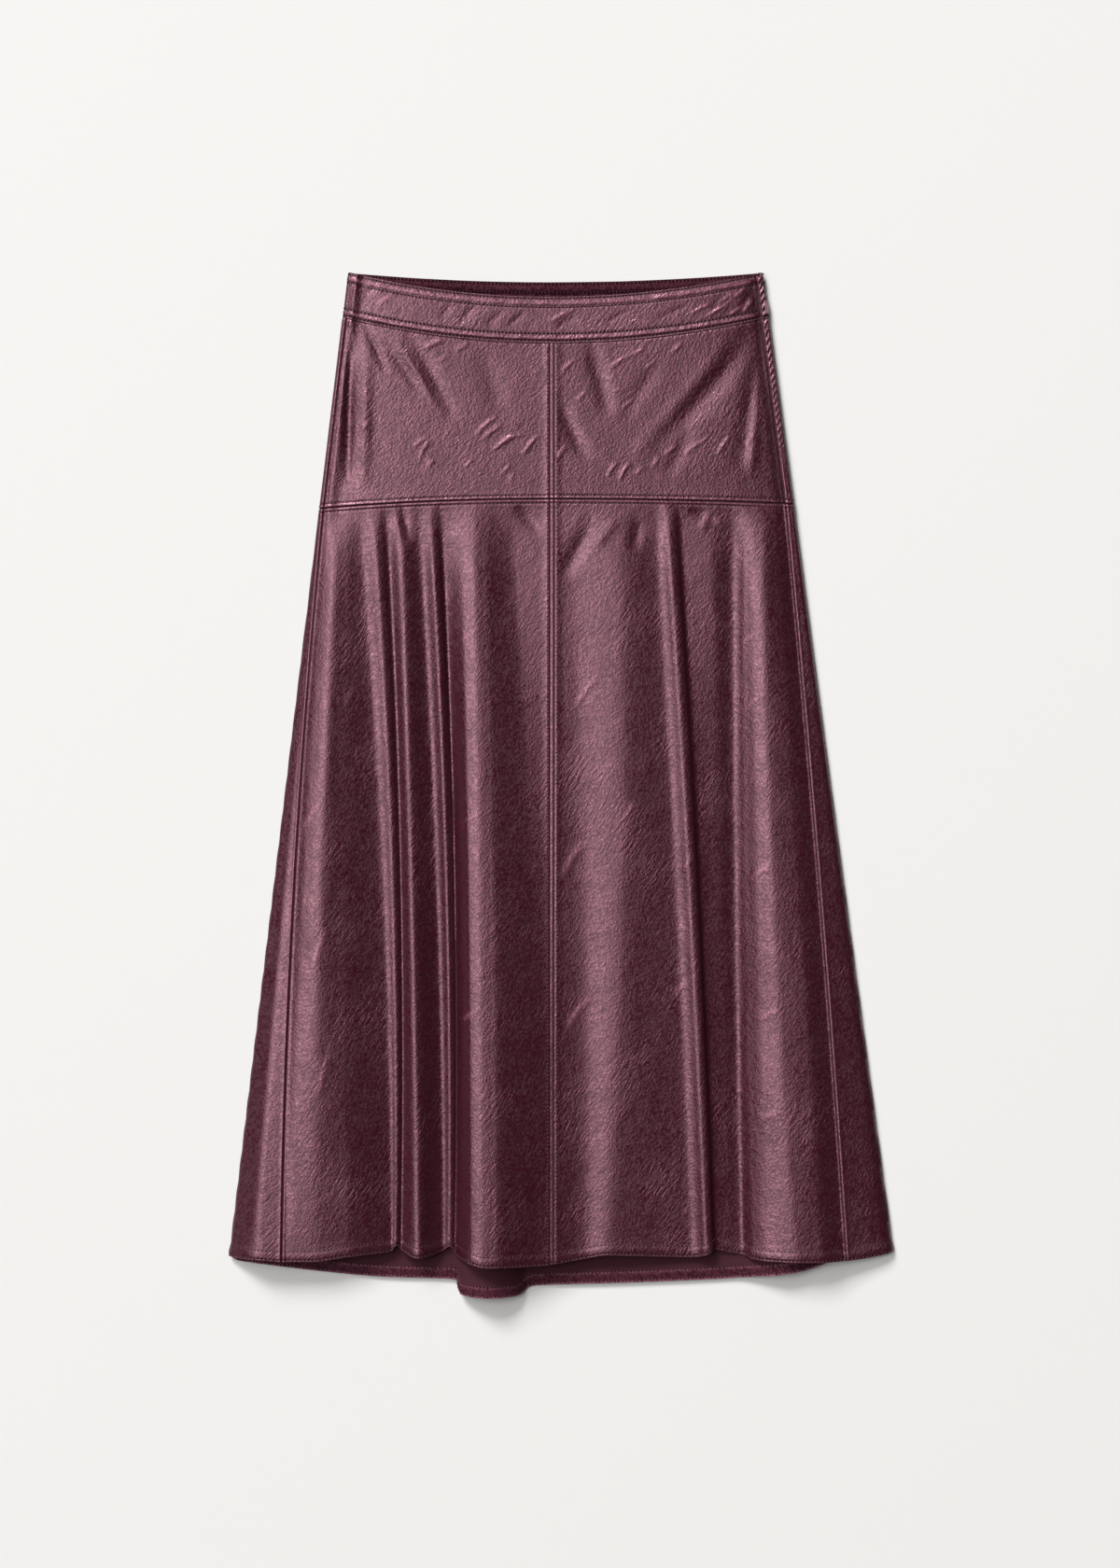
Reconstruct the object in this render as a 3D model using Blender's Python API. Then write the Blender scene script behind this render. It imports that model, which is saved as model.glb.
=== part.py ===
"""Flared leather midi skirt with a hip yoke, lying on its back with the waist towards +Y.

The skirt is one flattened tube.  Its outer face is a ring of cloth lines that run from the waist to
the hem: crests, lips and troughs of the folds on the front, seams, side edges, and the flat back.
Every panel is a stretch of that ring with a wall turned inwards: a loft whose sections all differ.
Sizes are in millimetres until a point is placed, when they become metres.
"""
import math
from collections import namedtuple

import bmesh
import bpy
from mathutils import Vector

MM = 0.001

# Driving sizes.
WALL = 1.2                    # one layer of coated cloth
BAND_WALL = 2.0               # the waistband is two layers and a stiffener
SEAM_GAP = 0.3                # between neighbouring pieces
TAPE_WALL = 0.8               # zip tape, inside the right side seam
TAPE_TOP, TAPE_END = 0.1, 1.86                 # its levels: see line_at
WAIST_LEFT, WAIST_RIGHT = -174.4, 181.6        # side edges at the waist, from the centre front seam
FLARE_LEFT, FLARE_RIGHT = -0.121, 0.1328       # how far each side edge goes out for each mm of drop
FRONT_DIP, BACK_DIP = 20.0, 8.0                # how far the waist's edge dips at its middle
BAND_DROP, BAND_DIP, BAND_BACK_DIP = 36.8, 21.6, 9.0
YOKE_DROP, YOKE_SAG = 193.5, 8.0               # yoke seam, and how much lower it is at the left edge
BACK_YOKE_SAG = 4.0
CROWN = 12.5                  # height of the front layer at the middle of the yoke
WAIST_FLATTENING = 0.86       # the front layer is this much lower at the waist's edge
GATHER_END = 0.13             # share of the length in which the folds grow from flat
LENGTH = 876.0                # waist to the lowest point of the hem
CENTRE_FRONT_X = -8.4         # the seam lies this far from the middle of the whole width
TAB_WALL = 1.0                # the zip's tab
COLUMN, BACK_COLUMN, UPPER_COLUMN = 8.0, 13.0, 13.0   # spacing of the lofts' columns

# One row for each cloth line, going round the tube: along the front from left to right, then along
# the back from right to left.  x is measured from the centre front seam, z is the outer face's
# height above the table, each at the yoke seam, half-way and at the hem; drop is the line's hem.
Line = namedtuple("Line", "name x_yoke x_mid x_hem z_yoke z_mid z_hem drop")
LINES = [
    Line("left_seam",      -194.6, -219.2, -229.6,  6.8, 12.4, 19.4, 844.8),
    Line("roll_rise",      -189.0, -209.4, -220.0,  9.4, 17.0, 22.0, 844.8),
    Line("roll_crest",     -182.0, -196.0, -205.5, 11.4, 19.8, 25.4, 844.8),
    Line("roll_fall",      -173.5, -178.0, -179.0, 10.8, 16.8, 19.6, 841.0),
    Line("roll_foot",      -165.0, -144.2, -136.4,  9.8,  9.2,  8.6, 837.0),
    Line("tuck_crest",     -152.5, -135.6, -133.4, 12.6, 11.4, 10.2, 833.0),
    Line("tuck_lip",       -147.6, -131.4, -131.0, 11.6, 10.3,  9.2, 832.0),
    Line("tuck_foot",      -141.0, -128.4, -128.2,  8.8,  8.6,  7.4, 836.0),
    Line("tube_crest",     -129.0, -118.6, -113.2, 13.2, 14.6, 17.0, 842.4),
    Line("tube_foot",      -114.5,  -98.2,  -92.6,  9.6,  7.4,  6.0, 837.0),
    Line("pinch_crest",    -104.0,  -89.4,  -87.4, 12.6, 11.4,  8.8, 833.0),
    Line("pinch_lip",       -99.5,  -85.4,  -85.0, 11.4,  9.8,  7.6, 833.5),
    Line("pinch_foot",      -94.0,  -82.6,  -82.2,  8.8,  6.6,  5.6, 840.0),
    Line("flute_rise",      -76.0,  -70.0,  -68.0, 13.0, 21.6, 27.5, 846.0),
    Line("flute_crest",     -67.0,  -59.5,  -57.5, 14.6, 24.6, 31.0, 848.8),
    Line("flute_fall",      -58.5,  -49.5,  -47.0, 13.6, 24.2, 30.6, 849.0),
    Line("flute_foot",      -34.0,  -15.0,  -12.0,  9.8, 16.4, 20.0, 848.5),
    Line("front_seam",        0.0,    0.0,    0.0, 11.4, 13.8, 17.0, 847.5),
    Line("fan_rise",         14.0,   26.0,   30.0, 12.0, 11.4, 12.0, 843.0),
    Line("fan_crest",        56.0,   60.5,   50.0, 14.2, 14.4, 13.8, 840.0),
    Line("fan_foot",         87.5,  105.5,  119.0, 11.0,  9.6,  7.2, 842.4),
    Line("ridge_crest",      98.5,  118.0,  132.6, 14.2, 13.4, 12.2, 840.0),
    Line("ridge_lip",       104.0,  123.4,  137.2, 12.8, 12.0, 10.4, 838.0),
    Line("ridge_foot",      110.0,  127.2,  141.0,  9.6,  9.8,  8.0, 836.0),
    Line("shelf",           133.0,  146.0,  152.0, 11.2,  6.2,  6.4, 838.0),
    Line("valley",          154.5,  157.0,  162.5,  8.4,  3.8,  4.2, 840.0),
    Line("swell_rise",      166.0,  167.0,  173.0, 13.0,  8.4, 10.2, 843.5),
    Line("swell_bend",      173.0,  178.0,  185.0, 14.6, 13.2, 15.6, 845.0),
    Line("swell_crest",     180.0,  191.0,  203.0, 15.0, 16.6, 21.4, 845.6),
    Line("swell_fall",      192.0,  207.0,  219.0, 12.0, 15.2, 19.8, 845.6),
    Line("right_seam",      203.6,  228.8,  252.0,  7.4, 10.4, 13.6, 844.8),
    Line("right_shoulder",  206.4,  246.0,  287.0,  5.5,  6.6,  7.4, 839.5),
    Line("right_edge",      207.6,  249.6,  292.8,  3.3,  3.4,  3.6, 837.6),
    Line("right_under",     202.4,  244.0,  286.0,  0.0,  0.0,  0.0, 838.5),
    Line("back_roll_foot",  190.0,  216.0,  241.5,  0.0,  0.0,  0.0, 842.0),
    Line("back_roll_lip",   184.0,  210.0,  236.0,  0.0,  1.4,  5.0, 846.0),
    Line("back_roll_crest", 166.0,  184.0,  202.0,  0.0,  3.2, 11.0, 856.0),
    Line("back_roll_end",   140.0,  150.0,  154.0,  0.0,  0.0,  0.0, 860.5),
    Line("back_middle",      60.0,   62.0,   64.0,  0.0,  0.0,  0.0, 864.5),
    Line("back_seam",         0.0,   -6.0,  -15.0,  0.0,  0.0,  0.0, 867.0),
    Line("back_tube_end",   -20.0,  -22.0,  -22.0,  0.0,  0.0,  0.0, 869.5),
    Line("back_tube_fall",  -34.0,  -34.0,  -31.0,  0.0,  2.0,  8.0, 875.0),
    Line("back_tube_crest", -52.0,  -55.0,  -54.0,  0.0,  4.3, 17.0, 876.0),
    Line("back_tube_lip",   -72.0,  -74.0,  -75.5,  0.0,  1.6,  6.0, 874.0),
    Line("back_tube_foot",  -80.0,  -80.5,  -80.5,  0.0,  0.0,  0.0, 862.0),
    Line("back_left",      -130.0, -140.0, -150.0,  0.0,  0.0,  0.0, 859.0),
    Line("left_under",     -193.6, -232.0, -270.0,  0.0,  0.0,  0.0, 845.0),
    Line("left_edge",      -198.8, -237.4, -276.0,  3.3,  3.4,  3.6, 841.6),
    Line("left_shoulder",  -197.6, -231.5, -267.0,  5.5,  7.8,  8.8, 842.2),
    Line("left_strip",     -196.2, -226.4, -249.0,  6.2, 10.8, 15.8, 843.4),
]
INDEX = {line.name: number for number, line in enumerate(LINES)}
ROUND = len(LINES)
CROWNED = range(INDEX["roll_crest"], INDEX["swell_fall"] + 1)   # lines that the yoke's crown lifts
BACK = range(INDEX["right_under"], INDEX["left_under"] + 1)

# Drag folds pulled across the front yoke: soft troughs from one point to another.
Drag = namedtuple("Drag", "x0 drop0 x1 drop1 width depth")
DRAGS = [
    Drag(176.0, 44.0,   92.0, 158.0, 8.0, 2.6),
    Drag(160.0, 60.0,  148.0, 176.0, 6.0, 1.5),
    Drag(38.0, 52.0,    56.0, 112.0, 7.0, 1.6),
    Drag(6.0, 100.0,    32.0, 160.0, 6.0, 1.5),
    Drag(-134.0, 44.0, -86.0, 150.0, 7.0, 1.6),
    Drag(-172.0, 60.0, -176.0, 176.0, 5.0, 1.3),
]

SKIRT_ROWS = (0.0, 0.012, 0.03, 0.055, 0.09, 0.13, 0.19, 0.27, 0.37, 0.48, 0.6, 0.72, 0.84, 0.94, 1.0)


def bowed(start, middle, end, share):
    """A parabola through three values at 0, a half and 1."""
    return (start * (1 - share) * (1 - 2 * share)
            + 4 * middle * share * (1 - share)
            + end * share * (2 * share - 1))


def through(values, place):
    """Monotone cubic round a closed list: smooth, and never past a crest or below a trough."""
    base = math.floor(place)
    share = place - base

    def value(number):
        return values[number % ROUND]

    def slope(number):
        before = value(number) - value(number - 1)
        after = value(number + 1) - value(number)
        return 0.0 if before * after <= 0 else 2 * before * after / (before + after)

    rest = 1 - share
    return (value(base) * rest * rest * (1 + 2 * share)
            + slope(base) * share * rest * rest
            + value(base + 1) * share * share * (3 - 2 * share)
            - slope(base + 1) * share * share * rest)


def side_share(x, drop):
    """How far x is towards its side edge at this drop: -1 at the left edge, 1 at the right."""
    if x < 0:
        return -x / (WAIST_LEFT + FLARE_LEFT * drop)
    return x / (WAIST_RIGHT + FLARE_RIGHT * drop)


def drag_depth(x, drop):
    """How far the drag folds sink the front at a place."""
    sunk = 0.0
    for drag in DRAGS:
        along = Vector((drag.x1 - drag.x0, drag.drop1 - drag.drop0))
        offset = Vector((x - drag.x0, drop - drag.drop0))
        share = offset.dot(along) / along.length_squared
        aside = (offset - along * share).length / drag.width
        if 0 < share < 1:
            sunk += drag.depth * math.sin(math.pi * share) * math.exp(-aside * aside)
    return sunk


def line_at(number, level):
    """(x, drop, z) of a cloth line.  Level 0 is the waist's edge, 1 the waistband seam,
    2 the yoke seam and 3 the hem."""
    line = LINES[number]
    on_back = number in BACK
    yoke_sag = BACK_YOKE_SAG if on_back else YOKE_SAG
    yoke_share = side_share(line.x_yoke, YOKE_DROP)
    yoke_drop = YOKE_DROP + (yoke_sag if yoke_share < 0 else BACK_YOKE_SAG) * yoke_share ** 2
    flat_z = line.z_yoke
    if number in CROWNED:
        flat_z = 6.6 + (CROWN - 6.6) * (1 - yoke_share ** 4)
    if level >= 2:
        share = level - 2
        grown = 1 - max(0.0, 1 - share / GATHER_END) ** 2.2
        folded = bowed(line.z_yoke, line.z_mid, line.z_hem, share)
        return (bowed(line.x_yoke, line.x_mid, line.x_hem, share),
                yoke_drop + (line.drop - yoke_drop) * share,
                flat_z + (folded - flat_z) * grown)
    bend = 1 - yoke_share ** 2
    top = (BACK_DIP if on_back else FRONT_DIP) * bend
    seam = BAND_DROP + (BAND_BACK_DIP if on_back else BAND_DIP) * bend
    if level >= 1:
        drop = seam + (yoke_drop - seam) * (level - 1)
    else:
        drop = top + (seam - top) * level
    edge = (WAIST_LEFT + FLARE_LEFT * drop, WAIST_RIGHT + FLARE_RIGHT * drop)[yoke_share > 0]
    yoke_edge = (WAIST_LEFT + FLARE_LEFT * yoke_drop, WAIST_RIGHT + FLARE_RIGHT * yoke_drop)[yoke_share > 0]
    inset = line.x_yoke - yoke_edge
    x = edge + inset * edge / yoke_edge
    lowered = WAIST_FLATTENING + (1 - WAIST_FLATTENING) * level / 2
    z = flat_z * (lowered if number in CROWNED else 1.0)
    return x, drop, z


def outer_point(place, level):
    """The outer face at a place round the tube, counted in cloth lines, and at a level."""
    values = [line_at(number, level) for number in range(ROUND)]
    x, drop, z = (through([value[axis] for value in values], place) for axis in range(3))
    if place < INDEX["right_seam"] and level <= 2:
        z -= drag_depth(x, drop)
    return Vector((CENTRE_FRONT_X + x, LENGTH / 2 - drop, z))


def outward(place, level):
    """The outer face's normal, the same for both pieces that meet at a seam."""
    across = outer_point(place + 0.12, level) - outer_point(place - 0.12, level)
    down = outer_point(place, min(level + 0.02, 3.0)) - outer_point(place, max(level - 0.02, 0.0))
    return down.cross(across).normalized()


def length_between(start, end, level):
    """Length of cloth between two places round the tube."""
    steps = 12
    points = [outer_point(start + (end - start) * step / steps, level) for step in range(steps + 1)]
    return sum((b - a).length for a, b in zip(points, points[1:]))


def fold_columns(start, end, spacing):
    """Places from one cloth line to another: every line between them, and more where they are far apart."""
    places = []
    for number in range(start, end):
        steps = max(1, round(length_between(number, number + 1, 3.0) / spacing))
        places += [number + step / steps for step in range(steps)]
    return places + [end]


def even_columns(start, end, level):
    """Places from one cloth line to another, about the same length of cloth apart."""
    fine = [start + step / 8 for step in range((end - start) * 8 + 1)]
    run = [0.0]
    for before, after in zip(fine, fine[1:]):
        run.append(run[-1] + length_between(before, after, level))
    count = max(2, round(run[-1] / UPPER_COLUMN))
    targets = [run[-1] * number / count for number in range(1, count)]
    inner = [min(fine, key=lambda place: abs(run[fine.index(place)] - target)) for target in targets]
    return [start] + inner + [end]


def upper_columns(start, end, level):
    """Even columns, with the side edges' own lines where the cloth turns round a side."""
    turn_right = (INDEX["right_seam"], INDEX["back_roll_foot"])
    turn_left = (INDEX["left_under"], ROUND)
    places = []
    flat_start, flat_end = start, end
    if start == turn_right[0]:
        flat_start = turn_right[1]
        places = [start + step / 2 for step in range((flat_start - start) * 2)]
    if end == turn_left[1]:
        flat_end = turn_left[0]
    places += even_columns(flat_start, flat_end, level)
    if end == turn_left[1]:
        places += [flat_end + step / 2 for step in range(1, (end - flat_end) * 2 + 1)]
    return places


def levels(start, end, count):
    return [start + (end - start) * step / count for step in range(count + 1)]


def trimmed(grid):
    """Moves each border of a grid of points in by half the gap of a seam."""
    half = SEAM_GAP / 2

    def pulled(edge, neighbours):
        return [a + (b - a).normalized() * half for a, b in zip(edge, neighbours)]

    grid[0], grid[-1] = pulled(grid[0], grid[1]), pulled(grid[-1], grid[-2])
    turned = [list(row) for row in zip(*grid)]
    turned[0], turned[-1] = pulled(turned[0], turned[1]), pulled(turned[-1], turned[-2])
    return [list(row) for row in zip(*turned)]


def layer(name, places, rows, outer_depth, inner_depth, material):
    """One piece of cloth between two depths under the ring's outer face.  Each row's section runs
    along the outer side and back along the inner one, and the loft joins each section to the next."""
    def side(depth):
        return trimmed([[outer_point(place, level) - outward(place, level) * depth for place in places]
                        for level in rows])

    mesh = bpy.data.meshes.new(name)
    shape = bmesh.new()
    sections = [[shape.verts.new(point * MM) for point in outer + inner[::-1]]
                for outer, inner in zip(side(outer_depth), side(inner_depth))]
    around = len(sections[0])
    for upper, lower in zip(sections, sections[1:]):
        for j in range(around):
            k = (j + 1) % around
            shape.faces.new((upper[j], lower[j], lower[k], upper[k]))
    for section, flipped in ((sections[0], False), (sections[-1], True)):
        for j in range(around // 2 - 1):
            corners = (section[j], section[j + 1], section[-2 - j], section[-1 - j])
            shape.faces.new(corners[::-1] if flipped else corners)
    shape.to_mesh(mesh)
    shape.free()
    mesh.shade_smooth()
    mesh.set_sharp_from_angle(angle=math.radians(60))
    mesh.materials.append(material)
    piece = bpy.data.objects.new(name, mesh)
    skirt.objects.link(piece)
    return piece


def coat(name, colour, roughness, metallic=0.0):
    material = bpy.data.materials.new(name)
    material.use_nodes = True
    shader = material.node_tree.nodes["Principled BSDF"]
    shader.inputs["Base Color"].default_value = (*colour, 1.0)
    shader.inputs["Roughness"].default_value = roughness
    shader.inputs["Metallic"].default_value = metallic
    material.diffuse_color = (*colour, 1.0)
    return material


for leftover in list(bpy.data.objects):
    bpy.data.objects.remove(leftover)
skirt = bpy.data.collections.new("leather_skirt")
bpy.context.scene.collection.children.link(skirt)

LEFT_SEAM, FRONT_SEAM, RIGHT_SEAM, BACK_SEAM = (
    INDEX[name] for name in ("left_seam", "front_seam", "right_seam", "back_seam"))
PANELS = {
    "front_left": (LEFT_SEAM, FRONT_SEAM, COLUMN),
    "front_right": (FRONT_SEAM, RIGHT_SEAM, COLUMN),
    "back_right": (RIGHT_SEAM, BACK_SEAM, BACK_COLUMN),
    "back_left": (BACK_SEAM, ROUND, BACK_COLUMN),
}
for side, (first, last, spacing) in PANELS.items():
    leather = coat("leather_" + side, (0.075, 0.018, 0.028), 0.42)
    layer("skirt_" + side, fold_columns(first, last, spacing), [2 + row for row in SKIRT_ROWS],
          0.0, WALL, leather)
    layer("yoke_" + side, upper_columns(first, last, 2.0), levels(1.0, 2.0, 8), 0.0, WALL, leather)

band_leather = coat("waistband_leather", (0.075, 0.018, 0.028), 0.42)
for name, first, last in (("waistband_front", LEFT_SEAM, RIGHT_SEAM), ("waistband_back", RIGHT_SEAM, ROUND)):
    layer(name, upper_columns(first, last, 1.0), levels(0.0, 1.0, 3), 0.0, BAND_WALL, band_leather)

# The closed zip: its tape lies under the front's edge beside the right seam, and the tab of its
# slider hangs out over the side edge, under the waistband's middle.
tape_top = BAND_WALL + SEAM_GAP
layer("zip_tape", [RIGHT_SEAM - 0.9, RIGHT_SEAM - 0.5, RIGHT_SEAM - 0.1], levels(TAPE_TOP, TAPE_END, 7),
      tape_top, tape_top + TAPE_WALL, coat("zip_tape", (0.03, 0.01, 0.014), 0.7))
layer("zip_tab", [RIGHT_SEAM + 0.2, RIGHT_SEAM + 0.8, RIGHT_SEAM + 1.4], levels(0.66, 0.95, 4),
      -SEAM_GAP - TAB_WALL, -SEAM_GAP, coat("zip_metal", (0.4, 0.2, 0.24), 0.35, 0.6))
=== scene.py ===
"""Burgundy leather midi skirt with a hip yoke, laid flat on its back, seen from straight above.

Lengths in the tables are millimetres.  x counts from the centre front seam, drop runs down from the
waist's corners, z is height above the table that the skirt lies on.
"""
import math
from collections import namedtuple

import bpy
import numpy as np
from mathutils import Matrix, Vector


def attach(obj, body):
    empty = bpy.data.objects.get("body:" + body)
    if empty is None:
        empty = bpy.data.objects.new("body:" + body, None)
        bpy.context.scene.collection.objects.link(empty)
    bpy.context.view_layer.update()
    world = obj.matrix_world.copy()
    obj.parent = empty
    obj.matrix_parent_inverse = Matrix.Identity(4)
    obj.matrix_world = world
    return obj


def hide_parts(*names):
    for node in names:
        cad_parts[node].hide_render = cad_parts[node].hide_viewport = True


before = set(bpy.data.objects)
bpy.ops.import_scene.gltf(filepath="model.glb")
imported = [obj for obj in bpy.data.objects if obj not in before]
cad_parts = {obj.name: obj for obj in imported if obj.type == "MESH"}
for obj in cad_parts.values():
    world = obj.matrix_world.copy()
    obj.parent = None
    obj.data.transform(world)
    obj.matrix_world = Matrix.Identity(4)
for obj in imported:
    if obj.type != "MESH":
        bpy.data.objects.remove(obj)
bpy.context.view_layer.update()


# --------------------
# Lower skirt: four flared panels of 1.2 mm coated leather, joined at the centre front, at the
# sides and at the centre back.  Cut wider than the hips above, so they fall in soft uneven folds:
# rounded crests, with three narrow lips that lean over the trough beside them.
# --------------------
MM = 0.001  # metres in a millimetre
LENGTH, CENTRE_FRONT_X = 876.0, -8.4  # waist's corners to the lowest hem; centre front seam
WAIST_LEFT, WAIST_RIGHT = -174.4, 181.6  # the waist's corners
FLARE_LEFT, FLARE_RIGHT = -0.121, 0.1328  # how far the hips spread for each mm of drop
FRONT_DIP, BACK_DIP = 21.4, 8.0  # how far the waist's edge dips at its middle
BAND_DROP, BAND_DIP, BAND_BACK_DIP = 38.4, 22.4, 9.0  # the waistband's seam, and its dips
YOKE_DROP, YOKE_SAG, BACK_YOKE_SAG = 194.3, 8.0, 4.0  # the yoke's seam, lower towards its ends
CROWN, EDGE_HEIGHT = 12.5, 6.6  # height of the front over the hips' middle and at their sides
WAIST_FLATTENING = 0.86  # share of that height at the waist
GATHER_END, GATHER_SPEED = 0.13, 2.2  # share of the length in which the folds grow, and how fast
LEATHER, BAND = 1.2, 2.0  # walls of the panels and of the waistband
HEM_TURN, HEM_PLY = 11.0, 0.9  # the turned-up hem, and its second layer
BACK_LIFT = 1.05  # keeps the back's seams above the table
WAIST, BAND_SEAM, YOKE_SEAM, HEM = 0.0, 1.0, 2.0, 3.0  # levels down the skirt

Line = namedtuple("Line", "name x_yoke x_mid x_hem z_yoke z_mid z_hem drop")
LINES = [Line(*row) for row in (
    ("left_seam",      -194.6, -219.2, -229.6,  6.8, 12.4, 21.0, 844.8),
    ("roll_rise",      -189.0, -209.4, -220.0,  9.4, 17.0, 20.9, 844.8),
    ("roll_crest",     -182.0, -196.0, -203.0, 11.4, 19.8, 20.8, 844.8),
    ("roll_fall",      -173.5, -178.0, -174.0, 10.8, 16.8, 18.6, 841.0),
    ("roll_foot",      -165.0, -144.2, -136.4,  9.8,  9.2,  8.6, 837.0),
    ("tuck_crest",     -152.5, -135.6, -133.4, 12.6, 11.4,  9.8, 833.0),
    ("tuck_lip",       -147.6, -131.4, -131.0, 11.6, 10.3,  9.2, 832.0),
    ("tuck_foot",      -141.0, -128.4, -128.2,  8.8,  8.6,  7.4, 836.0),
    ("tube_crest",     -129.0, -118.6, -113.2, 13.2, 14.6, 17.0, 842.4),
    ("tube_foot",      -114.5,  -98.2,  -92.6,  9.6,  7.4,  6.0, 837.0),
    ("pinch_crest",    -104.0,  -89.4,  -87.4, 12.6, 11.4,  7.8, 833.0),
    ("pinch_lip",       -99.5,  -85.4,  -85.0, 11.4,  9.8,  7.6, 833.5),
    ("pinch_foot",      -94.0,  -82.6,  -82.2,  8.8,  6.6,  5.6, 840.0),
    ("flute_rise",      -76.0,  -70.0,  -68.0, 13.0, 22.3, 28.6, 846.0),
    ("flute_crest",     -67.0,  -59.5,  -57.5, 14.6, 24.6, 31.0, 848.8),
    ("flute_fall",      -58.5,  -49.5,  -47.0, 13.6, 24.2, 30.6, 849.0),
    ("flute_foot",      -34.0,  -15.0,  -12.0,  9.8, 16.4, 20.0, 848.5),
    ("front_seam",        0.9,    0.9,    0.9, 11.4, 13.8, 17.0, 847.5),
    ("fan_rise",         14.0,   26.0,   30.0, 12.0, 11.4, 12.0, 843.0),
    ("fan_crest",        56.0,   60.5,   50.0, 14.2, 14.4, 13.8, 840.0),
    ("fan_foot",         87.5,  105.5,  119.0, 11.0,  9.6,  7.2, 842.4),
    ("ridge_crest",      98.5,  118.0,  132.6, 14.2, 13.4, 12.2, 840.0),
    ("ridge_lip",       104.0,  123.4,  137.2, 12.8, 12.4, 11.3, 838.0),
    ("ridge_foot",      110.0,  127.2,  141.0,  9.4,  8.8,  6.8, 836.0),
    ("shelf",           133.0,  146.0,  152.0, 11.2,  5.8,  5.2, 838.0),
    ("valley",          154.5,  157.0,  162.5,  8.4,  3.8,  4.2, 840.0),
    ("swell_rise",      166.0,  167.0,  173.0, 13.0,  8.4, 11.4, 843.5),
    ("swell_bend",      173.0,  178.0,  187.0, 14.6, 13.9, 17.4, 845.0),
    ("swell_crest",     180.0,  191.0,  211.0, 15.0, 16.6, 21.4, 845.6),
    ("swell_fall",      190.0,  209.0,  229.0, 12.0, 15.6, 20.4, 845.6),
    ("right_seam",      200.4,  228.8,  252.0,  7.0, 10.4, 13.6, 844.8),
    ("right_shoulder",  206.4,  246.0,  287.0,  6.4,  6.6,  7.4, 839.5),
    ("right_edge",      207.6,  249.6,  292.8,  3.3,  3.4,  3.6, 837.6),
    ("right_under",     202.4,  244.0,  286.0,  0.0,  0.0,  0.0, 838.5),
    ("back_roll_foot",  190.0,  216.0,  241.5,  0.0,  0.0,  0.0, 842.0),
    ("back_roll_lip",   184.0,  210.0,  236.0,  0.0,  1.4,  5.0, 846.0),
    ("back_roll_crest", 166.0,  184.0,  202.0,  0.0,  3.2, 11.0, 856.0),
    ("back_roll_end",   140.0,  150.0,  154.0,  0.0,  0.0,  0.0, 860.5),
    ("back_middle",      60.0,   62.0,   64.0,  0.0,  0.0,  0.0, 864.5),
    ("back_seam",         0.0,   -6.0,  -15.0,  0.0,  0.0,  0.0, 867.0),
    ("back_tube_end",   -20.0,  -22.0,  -22.0,  0.0,  0.0,  0.0, 869.5),
    ("back_tube_fall",  -34.0,  -34.0,  -31.0,  0.0,  2.0,  8.0, 875.0),
    ("back_tube_crest", -52.0,  -55.0,  -54.0,  0.0,  4.3, 17.0, 876.0),
    ("back_tube_lip",   -72.0,  -74.0,  -75.5,  0.0,  1.6,  6.0, 874.0),
    ("back_tube_foot",  -80.0,  -80.5,  -80.5,  0.0,  0.0,  0.0, 862.0),
    ("back_left",      -130.0, -140.0, -150.0,  0.0,  0.0,  0.0, 859.0),
    ("left_under",     -193.6, -232.0, -270.0,  0.0,  0.0,  0.0, 845.0),
    ("left_edge",      -198.8, -237.4, -276.0,  3.3,  3.4,  3.6, 841.6),
    ("left_shoulder",  -197.6, -231.5, -270.0,  5.5,  7.8,  9.6, 842.2),
    ("left_strip",     -196.2, -226.4, -249.0,  6.2, 10.8, 21.7, 843.4),
)]
AT = {line.name: number for number, line in enumerate(LINES)}
ROUND = len(LINES)
LEFT_SEAM, FRONT_SEAM, RIGHT_SEAM, BACK_SEAM = (
    AT[name] for name in ("left_seam", "front_seam", "right_seam", "back_seam"))
DATA = np.array([line[1:] for line in LINES])
NUMBERS = np.arange(ROUND)
ON_BACK = (NUMBERS >= AT["right_under"]) & (NUMBERS <= AT["left_under"])
CROWNED = (NUMBERS >= AT["roll_crest"]) & (NUMBERS <= AT["swell_fall"])

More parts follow.
